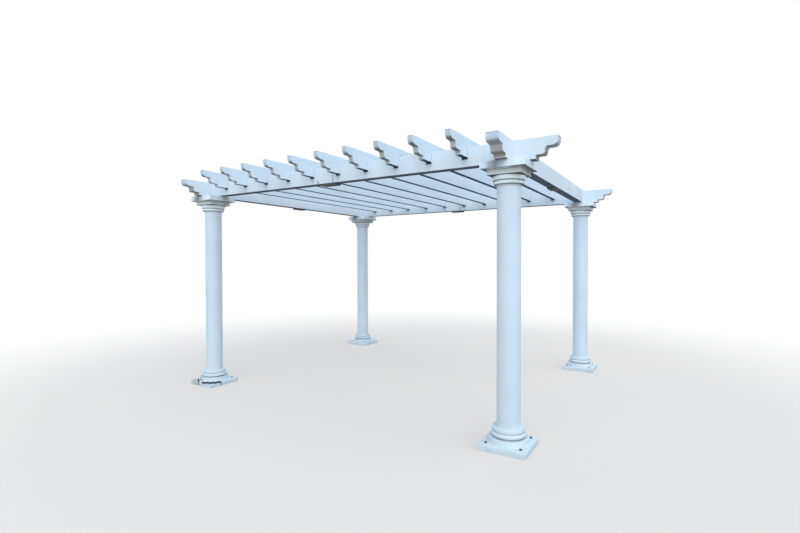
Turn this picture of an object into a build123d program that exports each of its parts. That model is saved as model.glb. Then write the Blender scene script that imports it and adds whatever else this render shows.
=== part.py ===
from build123d import *
import os

# Pergola: four round columns with turned bases and capitals carry a frame of scroll-ended beams,
# and ten scroll-ended rafters sit in pockets cut down into the two long beams.
# Millimetres. The origin is on the ground midway between the columns, +X runs along the long beams,
# +Y along the rafters and +Z up. Left is -X and front is -Y.

# Column grid, from axis to axis
column_spacing_x = 3756.0
column_spacing_y = 3114.0

# Column, from the ground up
plinth_side = 388.0
plinth_height = 52.0
plinth_edge_chamfer = 6.0

drum_diameter = 324.0
drum_height = 43.0
torus_diameter = 312.0
torus_height = 45.0
torus_seat_height = 4.0
base_ring_diameter = 260.0
base_ring_height = 31.0

shaft_diameter = 193.7
shaft_length = 1946.0

neck_height = 8.0
neck_overhang = 3.0
capital_ring_diameter = 246.0
capital_ring_height = 27.0
echinus_diameter = 268.0
echinus_height = 38.0
echinus_band_height = 9.0

groove_height = 5.0
groove_depth = 8.0
ring_edge_chamfer = 7.0

bed_mould_side = 282.0
bed_mould_height = 46.0
bed_mould_lip_height = 12.0
bed_mould_cove_depth = 5.0
bed_mould_flare = 3.0

abacus_side = 365.0
abacus_height = 58.0

# Beams and rafters, as sawn and wrapped sections
beam_width = 101.6
beam_height = 165.1
beam_overhang = 396.0
beam_riser_setback = 167.0

rafter_width = 50.8
rafter_height = 165.1
rafter_count = 10
rafter_lift = 78.0
rafter_shift = 23.0
rafter_overhang = 380.0
rafter_riser_setback = 188.0

# Scroll cut on every tail, measured from its tip and from the underside
nose_radius = 45.0
nose_underside_height = 93.0
nose_underside_length = 29.0
cove_radius = 24.0
cove_drop = 11.0
toe_radius = 26.0
toe_step_height = 32.0

# Joints
long_beam_splice_offset = 80.0
splice_plate_length = 305.0
splice_plate_width = 89.0
splice_plate_thickness = 19.0
lap_clearance = 0.3
pocket_side_clearance = 1.5
pocket_undercut_height = 16.0
pocket_undercut_depth = 22.0

# How a piece that stands on its own origin is aligned
STANDING = (Align.CENTER, Align.CENTER, Align.MIN)

# Levels
base_top = plinth_height + drum_height + torus_height + groove_height + base_ring_height
shaft_top = base_top + shaft_length
capital_top = shaft_top + neck_height + capital_ring_height + groove_height + echinus_height
bed_mould_top = capital_top + bed_mould_height
beam_bottom = bed_mould_top + abacus_height
beam_top = beam_bottom + beam_height
rafter_bottom = beam_bottom + rafter_lift

column_x = column_spacing_x / 2
column_y = column_spacing_y / 2
shaft_radius = shaft_diameter / 2


def turned(outline):
    """Revolve a closed outline, drawn as radius and height, about the column axis."""
    return revolve(make_face(Plane.XZ * outline), Axis.Z)


def base_turning():
    """Low drum on the plinth, the torus, a groove, and the rounded ring round the foot of the shaft."""
    drum_radius = drum_diameter / 2
    torus_radius = torus_diameter / 2
    bulge = (torus_height - torus_seat_height) / 2
    torus_inside = torus_radius - bulge
    torus_bottom = drum_height + torus_seat_height
    torus_top = drum_height + torus_height
    ring_radius = base_ring_diameter / 2
    ring_flat = ring_radius - ring_edge_chamfer
    groove_radius = ring_radius - groove_depth
    groove_top = torus_top + groove_height
    top = groove_top + base_ring_height
    outline = (
        Polyline((0, top), (0, 0), (drum_radius, 0), (drum_radius, drum_height))
        + Polyline((drum_radius, drum_height), (torus_inside, drum_height), (torus_inside, torus_bottom))
        + ThreePointArc(
            (torus_inside, torus_bottom),
            (torus_radius, torus_bottom + bulge),
            (torus_inside, torus_top),
        )
        + Polyline(
            (torus_inside, torus_top),
            (groove_radius, torus_top),
            (groove_radius, groove_top),
            (ring_radius, groove_top),
            (ring_radius, top - ring_edge_chamfer),
        )
        + Polyline((ring_radius, top - ring_edge_chamfer), (ring_flat, top), (0, top))
    )
    return turned(outline)


def capital_turning():
    """Neck, rounded lower ring, groove, and the quarter-round echinus under its flat band."""
    neck_radius = shaft_radius + neck_overhang
    ring_radius = capital_ring_diameter / 2
    ring_flat = ring_radius - ring_edge_chamfer
    ring_top = neck_height + capital_ring_height
    groove_radius = ring_radius - groove_depth
    groove_top = ring_top + groove_height
    echinus_radius = echinus_diameter / 2
    band_bottom = groove_top + echinus_height - echinus_band_height
    top = groove_top + echinus_height
    outline = (
        Polyline((0, top), (0, 0), (neck_radius, 0), (neck_radius, neck_height))
        + Polyline(
            (neck_radius, neck_height),
            (ring_flat, neck_height),
            (ring_radius, neck_height + ring_edge_chamfer),
            (ring_radius, ring_top),
            (groove_radius, ring_top),
            (groove_radius, groove_top),
            (ring_radius, groove_top),
        )
        + TangentArc((echinus_radius, band_bottom), (ring_radius, groove_top), tangent=(0, -1))
        + Polyline((echinus_radius, band_bottom), (echinus_radius, top), (0, top))
    )
    return turned(outline)


def mitred_block(outline, side):
    """Run one moulding profile round a square block by crossing two straight lengths of it."""
    length = 2 * side
    face = make_face(Plane.XZ * outline)
    along_y = extrude(face, length / 2, both=True)
    along_x = Rot(0, 0, 90) * along_y
    return along_x & along_y


def bed_mould_block():
    """Square block under the abacus: a plain lip, then a shallow cove that flares to the top."""
    lip = bed_mould_side / 2
    cove_start = lip - bed_mould_cove_depth
    flare = lip + bed_mould_flare
    right = Polyline((0, 0), (lip, 0), (lip, bed_mould_lip_height), (cove_start, bed_mould_lip_height))
    cove = TangentArc((cove_start, bed_mould_lip_height), (flare, bed_mould_height), tangent=(0, 1))
    top = Line((flare, bed_mould_height), (0, bed_mould_height))
    half = right + cove + top
    return mitred_block(half + mirror(half, Plane.YZ), 2 * flare)


def raised(solid, height):
    """Lift a piece from the ground to the level that it stands on."""
    return Pos(0, 0, height) * solid


def column_pieces():
    """The pieces of one column, on the axis through the origin, by name."""
    plinth = Box(plinth_side, plinth_side, plinth_height, align=STANDING)
    upright_edges = plinth.edges().filter_by(Axis.Z)
    top_edges = plinth.edges().group_by(Axis.Z)[-1]
    plinth = chamfer(upright_edges + top_edges, plinth_edge_chamfer)
    shaft = Cylinder(shaft_radius, shaft_length, align=STANDING)
    abacus = Box(abacus_side, abacus_side, abacus_height, align=STANDING)
    return {
        "plinth": plinth,
        "base_turning": raised(base_turning(), plinth_height),
        "shaft": raised(shaft, base_top),
        "capital_turning": raised(capital_turning(), shaft_top),
        "bed_mould": raised(bed_mould_block(), capital_top),
        "abacus": raised(abacus, bed_mould_top),
    }


def scroll_member(reach, height, width, riser_setback):
    """A straight member along X with the scroll cut on both ends and its underside at height zero.

    Each end, from the tip back: a plumb nose rounded under, a flat, a cove, a rounded toe,
    a level step, and a riser down to the underside.
    """
    nose_start = (reach, nose_underside_height + nose_radius)
    nose_end = (reach - nose_radius, nose_underside_height)
    cove_start = (nose_end[0] - nose_underside_length, nose_underside_height)
    cove_end = (cove_start[0] - cove_radius, nose_underside_height - cove_radius)
    toe_start = (cove_end[0], cove_end[1] - cove_drop)
    toe_end = (toe_start[0] - toe_radius, toe_step_height)
    riser = reach - riser_setback
    half = (
        Polyline((0, height), (reach, height), nose_start)
        + TangentArc(nose_start, nose_end, tangent=(0, -1))
        + Line(nose_end, cove_start)
        + TangentArc(cove_start, cove_end, tangent=(-1, 0))
        + Line(cove_end, toe_start)
        + TangentArc(toe_start, toe_end, tangent=(0, -1))
        + Polyline(toe_end, (riser, toe_step_height), (riser, 0), (0, 0))
    )
    face = make_face(Plane.XZ * (half + mirror(half, Plane.YZ)))
    return extrude(face, width / 2, both=True)


def crossings(spacing):
    """Where a member along X is crossed by the two members at its ends."""
    return [Pos(-spacing / 2, 0, 0), Pos(spacing / 2, 0, 0)]


def beam(spacing):
    """A beam with scroll tails past the column axes, before it is lapped."""
    return scroll_member(spacing / 2 + beam_overhang, beam_height, beam_width, beam_riser_setback)


def lap(bottom):
    """The half-depth notch, from its lowest level up, that leaves room for a crossing beam."""
    width = beam_width + 2 * lap_clearance
    return Pos(0, 0, bottom) * Box(width, width, beam_height / 2, align=STANDING)


def rafter_pocket():
    """Pocket for a rafter, from its seat to the top of the beam, undercut behind both faces.

    The undercut shows as a dark slot under the rafter on either side of the beam.
    """
    width = rafter_width + 2 * pocket_side_clearance
    pocket = Pos(0, 0, rafter_lift) * Box(width, beam_width, beam_height - rafter_lift, align=STANDING)
    undercut = Box(width, pocket_undercut_depth, pocket_undercut_height, align=STANDING)
    inset = (beam_width - pocket_undercut_depth) / 2
    slots = [Pos(0, y, rafter_lift - pocket_undercut_height) * undercut for y in (-inset, inset)]
    return pocket + slots


def rafter_places():
    """Where the rafters cross a long beam: evenly pitched, and all set over a little to the left."""
    pitch = column_spacing_x / (rafter_count + 1)
    return [number * pitch - column_x - rafter_shift for number in range(1, rafter_count + 1)]


def long_beam_lengths():
    """Left and right lengths of a long beam: lapped on top, pocketed, and butted at the splice."""
    laps = [place * lap(beam_height / 2) for place in crossings(column_spacing_x)]
    pockets = [Pos(x, 0, 0) * rafter_pocket() for x in rafter_places()]
    whole = beam(column_spacing_x) - (laps + pockets)
    joint = Plane.YZ.offset(long_beam_splice_offset)
    return {
        "left": split(whole, joint, keep=Keep.BOTTOM),
        "right": split(whole, joint, keep=Keep.TOP),
    }


def end_beam():
    """A beam across the end of the frame, lapped on its lower half, along Y."""
    whole = beam(column_spacing_y) - [place * lap(0) for place in crossings(column_spacing_y)]
    return Rot(0, 0, 90) * whole


def rafter():
    """A rafter along Y, one piece from tail to tail."""
    reach = column_spacing_y / 2 + rafter_overhang
    return Rot(0, 0, 90) * scroll_member(reach, rafter_height, rafter_width, rafter_riser_setback)


def splice_plate():
    """Plate screwed up under the middle of a beam, along X, its top face at height zero."""
    return Box(
        splice_plate_length,
        splice_plate_width,
        splice_plate_thickness,
        align=(Align.CENTER, Align.CENTER, Align.MAX),
    )


def pergola():
    """Every piece of the pergola in place, by node name."""
    pieces = {}
    sides = {"front": -column_y, "back": column_y}
    ends = {"left": -column_x, "right": column_x}

    column = column_pieces()
    for side, y in sides.items():
        for end, x in ends.items():
            for name, solid in column.items():
                pieces[f"{side}_{end}_{name}"] = Pos(x, y, 0) * solid

    plate = splice_plate()
    for side, y in sides.items():
        for end, solid in long_beam_lengths().items():
            pieces[f"{side}_beam_{end}_length"] = Pos(0, y, beam_bottom) * solid
        pieces[f"{side}_splice_plate"] = Pos(0, y, beam_bottom) * plate
    for end, x in ends.items():
        pieces[f"{end}_end_beam"] = Pos(x, 0, beam_bottom) * end_beam()
        pieces[f"{end}_splice_plate"] = Pos(x, 0, beam_bottom) * Rot(0, 0, 90) * plate

    one_rafter = rafter()
    for number, x in enumerate(rafter_places(), start=1):
        pieces[f"rafter_{number:02d}"] = Pos(x, 0, rafter_bottom) * one_rafter
    return pieces


os.makedirs("parts", exist_ok=True)
for node, solid in pergola().items():
    export_step(solid, f"parts/{node}.step")
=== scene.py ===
"""A weathered white vinyl garden pergola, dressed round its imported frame.

Every length is in metres, in the frame's own axes: the ground is z = 0, +X runs along the long
beams, +Y runs along the rafters, and the front is -Y.
"""

import logging
import math
from collections.abc import Iterable, Sequence
from dataclasses import dataclass, replace
from enum import Enum
from functools import cached_property, reduce

import bmesh
import bpy
from bmesh.types import BMEdge, BMesh, BMFace, BMVert
from bpy.types import Material, Mesh, Node, Object, World
from bpy.types import NodeSocket as Socket
from mathutils import Matrix, Vector


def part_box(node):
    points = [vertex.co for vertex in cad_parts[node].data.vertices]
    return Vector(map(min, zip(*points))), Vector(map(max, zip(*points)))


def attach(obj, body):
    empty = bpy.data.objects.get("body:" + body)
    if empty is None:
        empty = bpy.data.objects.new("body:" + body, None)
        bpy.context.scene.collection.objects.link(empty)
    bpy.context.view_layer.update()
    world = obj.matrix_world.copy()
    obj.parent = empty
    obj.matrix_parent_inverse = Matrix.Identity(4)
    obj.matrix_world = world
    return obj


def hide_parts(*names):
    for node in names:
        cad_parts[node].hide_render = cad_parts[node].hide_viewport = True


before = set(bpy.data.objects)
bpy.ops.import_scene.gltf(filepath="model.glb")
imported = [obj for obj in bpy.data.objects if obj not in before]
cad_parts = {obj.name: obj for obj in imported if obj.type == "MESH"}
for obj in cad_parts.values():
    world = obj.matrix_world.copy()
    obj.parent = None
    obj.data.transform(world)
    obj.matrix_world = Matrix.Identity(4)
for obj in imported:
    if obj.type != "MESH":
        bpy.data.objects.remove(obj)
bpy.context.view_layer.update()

log = logging.getLogger("pergola")

Colour = tuple[float, float, float]
Point = tuple[float, float, float]
Range = tuple[float, float]
Box = tuple[Vector, Vector]
Wired = Socket | float | Sequence[float]
Looks = list[tuple[str, Wired]]

BODY = "root"
SIDES = ("front", "back")
ENDS = ("left", "right")
RAFTERS = [f"rafter_{number:02d}" for number in range(1, 11)]

COLUMN_SPACING = 3.756
RAFTER_PITCH = COLUMN_SPACING / (len(RAFTERS) + 1)
RAFTER_SHIFT = 0.023
RAFTER_BED = 2.382
BEAM_FOOT = 2.304

MERGE_DISTANCE = 1e-6
NEAR = 0.001
CLEAR = 0.01
CREASE_ANGLE = math.radians(14.0)


class Slot(Enum):
    """Material slots that the part's record names."""

    SHAFT = "column_shaft"
    BASE = "moulded_base"
    CAPITAL = "moulded_capital"
    BEAM = "beam_skin"
    RAFTER = "rafter_skin"
    METAL = "splice_plate"


class Run(Enum):
    """The way that a member's extrusion lines run, as the noise scale along each axis."""

    ALONG_X = (0.5, 90.0, 90.0)
    ALONG_Y = (90.0, 0.5, 90.0)
    UPRIGHT = (90.0, 90.0, 0.5)
    NONE = (60.0, 60.0, 60.0)


# Finishes


class Graph:
    """A shader graph, with one short method for each kind of node that it uses."""

    def __init__(self, owner: Material | World) -> None:
        """Start from an empty node tree.

        Args:
            owner: The material or the world that the graph belongs to.
        """
        owner.use_nodes = True
        self.tree = owner.node_tree
        self.tree.nodes.clear()

    def node(self, kind: str, inputs: dict[int | str, Wired] | None = None, **settings: object) -> Node:
        """Add a node.

        Args:
            kind: The node's type name.
            inputs: What its inputs get, by name or number.
            settings: Property values by name.

        Returns:
            The new node.
        """
        node = self.tree.nodes.new(kind)
        for name, value in settings.items():
            setattr(node, name, value)
        for key, value in (inputs or {}).items():
            self.feed(node.inputs[key], value)
        return node

    def feed(self, target: Socket, value: Wired) -> None:
        """Wire an input to an output, or set it to a plain value.

        Args:
            target: The input socket.
            value: An output socket, a number or a colour.
        """
        if isinstance(value, Socket):
            self.tree.links.new(value, target)
        elif isinstance(value, (int, float)):
            target.default_value = value
        else:
            target.default_value = (*value, 1.0)[:len(target.default_value)]

    @cached_property
    def place(self) -> Socket:
        """The point's place on the object."""
        return self.node("ShaderNodeTexCoord").outputs["Object"]

    @cached_property
    def facing(self) -> Socket:
        """How far the surface faces up, from -1 to 1."""
        return self.split(self.node("ShaderNodeNewGeometry").outputs["Normal"])[2]

    @cached_property
    def upright(self) -> Socket:
        """1 on upright faces and 0 on level ones."""
        return self.span(self.combine("ABSOLUTE", self.facing), 0.75, 0.35)

    @cached_property
    def shown(self) -> Socket:
        """1 for the rays that show the background, and 0 for those that light the object."""
        path = self.node("ShaderNodeLightPath").outputs
        seen = self.combine("MAXIMUM", path["Is Camera Ray"], path["Is Glossy Ray"])
        return self.combine("MAXIMUM", seen, path["Is Transmission Ray"])

    def split(self, vector: Socket) -> Sequence[Socket]:
        """Take a vector apart into its X, Y and Z."""
        return self.node("ShaderNodeSeparateXYZ", {0: vector}).outputs

    def stretch(self, scale: Sequence[float]) -> Socket:
        """Scale the point's place by a factor along each axis."""
        return self.node("ShaderNodeMapping", {"Vector": self.place, "Scale": scale}).outputs[0]

    def noise(self, vector: Socket, scale: float, detail: float = 3.0, roughness: float = 0.55) -> Socket:
        """Sample noise from 0 to 1, with scale features a metre and detail finer layers."""
        inputs = {"Vector": vector, "Scale": scale, "Detail": detail, "Roughness": roughness}
        return self.node("ShaderNodeTexNoise", inputs).outputs["Fac"]

    def span(self, value: Wired, low: float, high: float, top: float = 1.0) -> Socket:
        """Map a value smoothly from 0 at low to top at high, and hold it beyond them."""
        inputs = {"Value": value, "From Min": low, "From Max": high, "To Max": top}
        return self.node("ShaderNodeMapRange", inputs, interpolation_type="SMOOTHSTEP").outputs[0]

    def combine(self, operation: str, first: Wired, second: Wired = 0.0) -> Socket:
        """Do one of the Math node's operations on two values."""
        return self.node("ShaderNodeMath", {0: first, 1: second}, operation=operation).outputs[0]

    def total(self, *values: Wired) -> Socket:
        """Add any number of values."""
        return reduce(lambda one, other: self.combine("ADD", one, other), values)

    def product(self, *values: Wired) -> Socket:
        """Multiply any number of values."""
        return reduce(lambda one, other: self.combine("MULTIPLY", one, other), values)

    def distance(self, vector: Socket, point: Wired) -> Socket:
        """Measure how far a vector is from a point."""
        return self.node("ShaderNodeVectorMath", {0: vector, 1: point}, operation="DISTANCE").outputs["Value"]

    def blend(self, factor: Wired, under: Wired, over: Wired) -> Socket:
        """Lay one colour over another, by a factor from 0 to 1."""
        return self.node("ShaderNodeMix", {0: factor, 6: under, 7: over}, data_type="RGBA").outputs[2]

    def crevice(self, reach: float) -> Socket:
        """Give 0 in the open, and towards 1 where neighbours within reach close a point in, to paint shade
        into corners.
        """
        occlusion = self.node("ShaderNodeAmbientOcclusion", {"Distance": reach}, samples=6)
        return self.combine("SUBTRACT", 1.0, occlusion.outputs["AO"])

    def bump(self, height: Socket, depth: float, strength: float) -> Socket:
        """Turn a height from 0 to 1, where 1 stands for depth, into a surface normal."""
        inputs = {"Height": height, "Distance": depth, "Strength": strength}
        return self.node("ShaderNodeBump", inputs).outputs[0]

    def glow(self, colour: Colour) -> Socket:
        """Make a shader that shines by itself."""
        return self.node("ShaderNodeEmission", {"Color": colour}).outputs[0]

    def mixed(self, factor: Socket, first: Socket, second: Socket) -> Socket:
        """Mix two shaders, by how much of the second one shows."""
        return self.node("ShaderNodeMixShader", {0: factor, 1: first, 2: second}).outputs[0]


@dataclass(frozen=True)
class Finish:
    """What every finish has: the name of its material, and a shader that its own looks feed."""

    name: str

    def material(self) -> Material:
        """Make the material.

        Returns:
            The new material.
        """
        material = bpy.data.materials.new(self.name)
        graph = Graph(material)
        shader = graph.node("ShaderNodeBsdfPrincipled")
        for name, value in self.looks(graph):
            graph.feed(shader.inputs[name], value)
        graph.node("ShaderNodeOutputMaterial", {"Surface": shader.outputs[0]})
        return material

    def looks(self, graph: Graph) -> Looks:
        """Say what each of the shader's inputs gets, in order, which each kind of finish does."""
        raise NotImplementedError


@dataclass(frozen=True)
class Stain:
    """A soft round patch of dirt at one place.

    Attributes:
        radius: How far from its centre it fades out.
        strength: How strong it is in the middle.
        tallness: How many times taller than wide it is.
    """

    centre: Point
    radius: float
    colour: Colour
    strength: float
    tallness: float = 1.0

    def cover(self, graph: Graph) -> Socket:
        """Work out how much the stain covers a point.

        Args:
            graph: The material's graph.

        Returns:
            The cover, from 0 to 1.
        """
        squat = (1.0, 1.0, 1.0 / self.tallness)
        centre = [part * scale for part, scale in zip(self.centre, squat)]
        distance = graph.distance(graph.stretch(squat), centre)
        patch = graph.span(distance, self.radius, self.radius * 0.25, self.strength)
        return graph.product(patch, graph.span(graph.noise(graph.place, 22.0, 5.0, 0.7), 0.3, 0.62))


@dataclass(frozen=True)
class Vinyl(Finish):
    """White vinyl that has stood outdoors.

    Attributes:
        shade: The colour of its faint clouds.
        roughness: How matt it is.
        gloss: Strength of its reflections.
        streaks: Strength of the rain streaks on upright faces.
        dust: Strength of the dust on faces that look up.
        soffit_grime_and_shade: Strength of the darker colour on faces that look down, partly grime and partly
            painted shade.
        soffit_grime_and_shade_colour: The colour of that grime and painted shade.
        crevice_grime_and_shade: Strength of the darker colour in corners and recesses, partly grime and
            partly painted shade.
        splash_height: How high dirt has splashed up from the ground, or 0.
        soil_and_shade: Strength of the brownish darkening towards the bottom of a tail's cap, partly dirt and
            partly painted shade, or 0.
        soil_and_shade_top: The height where that darkening starts.
        soil_and_shade_bottom: The height where it is strongest.
        runoff: Strength of the streaks on a beam below its rafters, or 0.
        stains: Patches of dirt at their own places.
    """

    run: Run
    colour: Colour = (0.79, 0.84, 0.88)
    shade: Colour = (0.69, 0.74, 0.77)
    roughness: float = 0.5
    gloss: float = 0.06
    streaks: float = 0.12
    dust: float = 0.8
    soffit_grime_and_shade: float = 1.0
    soffit_grime_and_shade_colour: Colour = (0.08, 0.11, 0.14)
    crevice_grime_and_shade: float = 0.35
    splash_height: float = 0.0
    soil_and_shade: float = 0.0
    soil_and_shade_top: float = 0.0
    soil_and_shade_bottom: float = 0.0
    runoff: float = 0.0
    stains: tuple[Stain, ...] = ()

    # The colour of the grime streaks below the rafters, and of the grime and painted shade in corners and
    # recesses.
    GRIME_AND_SHADE = (0.30, 0.31, 0.29)
    DUST = (0.40, 0.405, 0.375)
    LICHEN = (0.42, 0.44, 0.37)
    SPLASH = (0.24, 0.19, 0.145)
    SPLASH_STRENGTH = 0.3
    SPECK = (0.16, 0.14, 0.11)
    TAIL_SOIL_AND_SHADE = (0.34, 0.31, 0.19)

    RUNOFF_HALF_WIDTH = 0.034
    RUNOFF_HALF_CORE = 0.006
    RUNOFF_LENGTH = 0.10
    RUNOFF_REACH = 1.70
    RUNOFF_FADE = 0.05

    def looks(self, graph: Graph) -> Looks:
        """Say what each of the shader's inputs gets.

        Args:
            graph: The material's graph.

        Returns:
            The inputs and their values. The specular level gets its number before its link,
            because the export drops the link and keeps the number.
        """
        clouds = graph.span(graph.noise(graph.place, 2.3, 4.0), 0.38, 0.72, 0.55)
        colour = graph.blend(clouds, self.colour, self.shade)
        for cover, dirt in self.dirt(graph):
            colour = graph.blend(cover, colour, dirt)
        matt = graph.span(graph.noise(graph.place, 14.0, 4.0), 0.25, 0.8, 0.22)
        clean = graph.combine("SUBTRACT", 1.0, graph.span(graph.facing, -0.3, -0.8))
        return [
            ("Base Color", colour),
            ("Roughness", graph.total(matt, self.roughness - 0.08)),
            ("Specular IOR Level", self.gloss),
            ("Specular IOR Level", graph.product(clean, self.gloss)),
            ("Normal", self.surface(graph)),
        ]

    def dirt(self, graph: Graph) -> list[tuple[Socket, Colour]]:
        """Work out the layers of streaks, dust, dirt, grime and painted shade.

        Args:
            graph: The material's graph.

        Returns:
            Each layer's cover and colour, from the lowest one up.
        """
        place, height = graph.place, graph.split(graph.place)[2]
        patchy = graph.span(graph.noise(place, 9.0, 5.0, 0.68), 0.3, 0.72)
        loose = graph.total(graph.product(patchy, 0.4), 0.6)
        thick = graph.total(graph.product(patchy, 0.12), 0.88)
        streak = graph.span(graph.noise(graph.stretch((30.0, 30.0, 1.6)), 1.0), 0.5, 0.78, self.streaks)
        facing_up = graph.span(graph.facing, 0.55, 0.95, self.dust)
        # Faces that look down are darkened, partly with grime and partly with painted shade.
        facing_down = graph.span(graph.facing, -0.45, -0.9, self.soffit_grime_and_shade)
        specks = graph.span(graph.noise(place, 130.0, 1.0, 0.4), 0.735, 0.79, 0.5)
        # Corners and recesses that neighbours close in are darkened, partly with grime and partly with
        # painted shade.
        crevice = graph.span(graph.crevice(0.014), 0.5, 0.95, self.crevice_grime_and_shade)
        layers = [
            (graph.product(streak, graph.upright), self.LICHEN),
            (graph.product(facing_up, loose), self.DUST),
            (graph.product(facing_down, thick), self.soffit_grime_and_shade_colour),
            (specks, self.SPECK),
            (graph.product(crevice, loose), self.GRIME_AND_SHADE),
        ]
        if self.runoff:
            layers.append((self.runoff_cover(graph), self.GRIME_AND_SHADE))
        # The lower part of a tail's cap is darkened, partly with dirt and partly with painted shade.
        if self.soil_and_shade:
            deep = graph.span(height, self.soil_and_shade_top, self.soil_and_shade_bottom, self.soil_and_shade)
            layers.append((graph.product(deep, loose), self.TAIL_SOIL_AND_SHADE))
        if self.splash_height:
            low = graph.span(height, self.splash_height, 0.0)
            ragged = graph.span(graph.noise(place, 26.0, 6.0, 0.72), 0.36, 0.66)
            layers.append((graph.product(low, ragged, self.SPLASH_STRENGTH), self.SPLASH))
        return layers + [(stain.cover(graph), stain.colour) for stain in self.stains]

    def runoff_cover(self, graph: Graph) -> Socket:
        """Work out the grey streak on the beam below each rafter.

        Args:
            graph: The material's graph.

        Returns:
            The streaks' cover, from 0 to 1. It ends past the last rafters, where the pattern
            would go on.
        """
        x, _, z = graph.split(graph.place)
        along = graph.total(x, COLUMN_SPACING / 2 + RAFTER_SHIFT)
        aside = graph.combine("PINGPONG", along, RAFTER_PITCH / 2)
        near = graph.span(aside, self.RUNOFF_HALF_WIDTH, self.RUNOFF_HALF_CORE)
        below = graph.span(z, RAFTER_BED - self.RUNOFF_LENGTH, RAFTER_BED, self.runoff)
        out = graph.combine("ABSOLUTE", x)
        between = graph.span(out, self.RUNOFF_REACH, self.RUNOFF_REACH - self.RUNOFF_FADE)
        wisps = graph.span(graph.noise(graph.stretch((160.0, 160.0, 5.0)), 1.0, 2.0), 0.3, 0.6)
        return graph.product(near, below, between, wisps, graph.upright)

    def surface(self, graph: Graph) -> Socket:
        """Shape the extrusion lines, the fine skin and the moulding's slight waves.

        Args:
            graph: The material's graph.

        Returns:
            The surface normal.
        """
        lines = graph.product(graph.noise(graph.stretch(self.run.value), 1.0, 2.0), 0.25)
        skin = graph.product(graph.noise(graph.place, 420.0, 2.0), 0.10)
        waves = graph.product(graph.noise(graph.place, 3.2, 1.0), 0.65)
        return graph.bump(graph.total(lines, skin, waves), 0.0012, 0.55)


@dataclass(frozen=True)
class TimberAndShade(Finish):
    """Grained colour from a lighter to a darker tone: raw timber inside the vinyl, and painted shade in
    slots, cracks and seams.
    """

    early: Colour = (0.115, 0.085, 0.06)
    late: Colour = (0.05, 0.038, 0.03)

    def looks(self, graph: Graph) -> Looks:
        """Say what each of the shader's inputs gets.

        Args:
            graph: The material's graph.

        Returns:
            The inputs and their values.
        """
        grain = graph.noise(graph.stretch((3.0, 60.0, 60.0)), 1.0, 5.0, 0.65)
        colour = graph.blend(graph.span(grain, 0.35, 0.65), self.early, self.late)
        return [("Base Color", colour), ("Roughness", 0.85), ("Normal", graph.bump(grain, 0.001, 0.5))]


@dataclass(frozen=True)
class PaintedMetal(Finish):
    """Painted steel whose paint has let some rust through.

    Attributes:
        rusted: How much of the surface has rusted, from 0 to 1.
        gloss: Strength of its reflections.
    """

    paint: Colour
    rusted: float
    roughness: float = 0.45
    gloss: float = 0.5

    RUST = (0.14, 0.062, 0.03)

    def looks(self, graph: Graph) -> Looks:
        """Say what each of the shader's inputs gets.

        Args:
            graph: The material's graph.

        Returns:
            The inputs and their values.
        """
        patches = graph.noise(graph.place, 55.0, 6.0, 0.7)
        edge = 0.78 - 0.42 * self.rusted
        rust = graph.span(patches, edge - 0.07, edge + 0.07)
        soft = graph.span(graph.noise(graph.place, 18.0, 4.0), 0.35, 0.7, 0.35)
        worn = graph.blend(soft, self.paint, [0.7 * part for part in self.paint])
        return [
            ("Base Color", graph.blend(rust, worn, self.RUST)),
            ("Roughness", graph.total(graph.product(rust, 0.4), self.roughness)),
            ("Specular IOR Level", self.gloss),
            ("Normal", graph.bump(patches, 0.0006, 0.5)),
        ]


BROWN_STAIN = Stain((-1.70, -1.50, 2.25), 0.085, (0.34, 0.24, 0.15), 0.8)
GREEN_STAIN = Stain((1.93, -1.60, 2.135), 0.09, (0.26, 0.33, 0.22), 0.55)
# A dark olive patch on the right side of the front right bed mould.
BED_DARK_PATCH = Stain((2.016, -1.507, 2.222), 0.075, (0.20, 0.18, 0.11), 0.75)
RAFTER_SPOT = Stain((0.856, -1.547, 2.492), 0.024, (0.42, 0.47, 0.60), 0.8)
PLINTH_LICHEN = Stain((-2.02, -1.72, 0.05), 0.19, (0.30, 0.36, 0.24), 0.75)
BEAM_DRIPS = tuple(
    Stain((1.929, place, 2.36), radius, (0.32, 0.43, 0.56), 0.75, tallness=5.0)
    for place, radius in ((0.54, 0.022), (0.68, 0.018), (1.10, 0.030), (1.31, 0.060))
)


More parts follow.
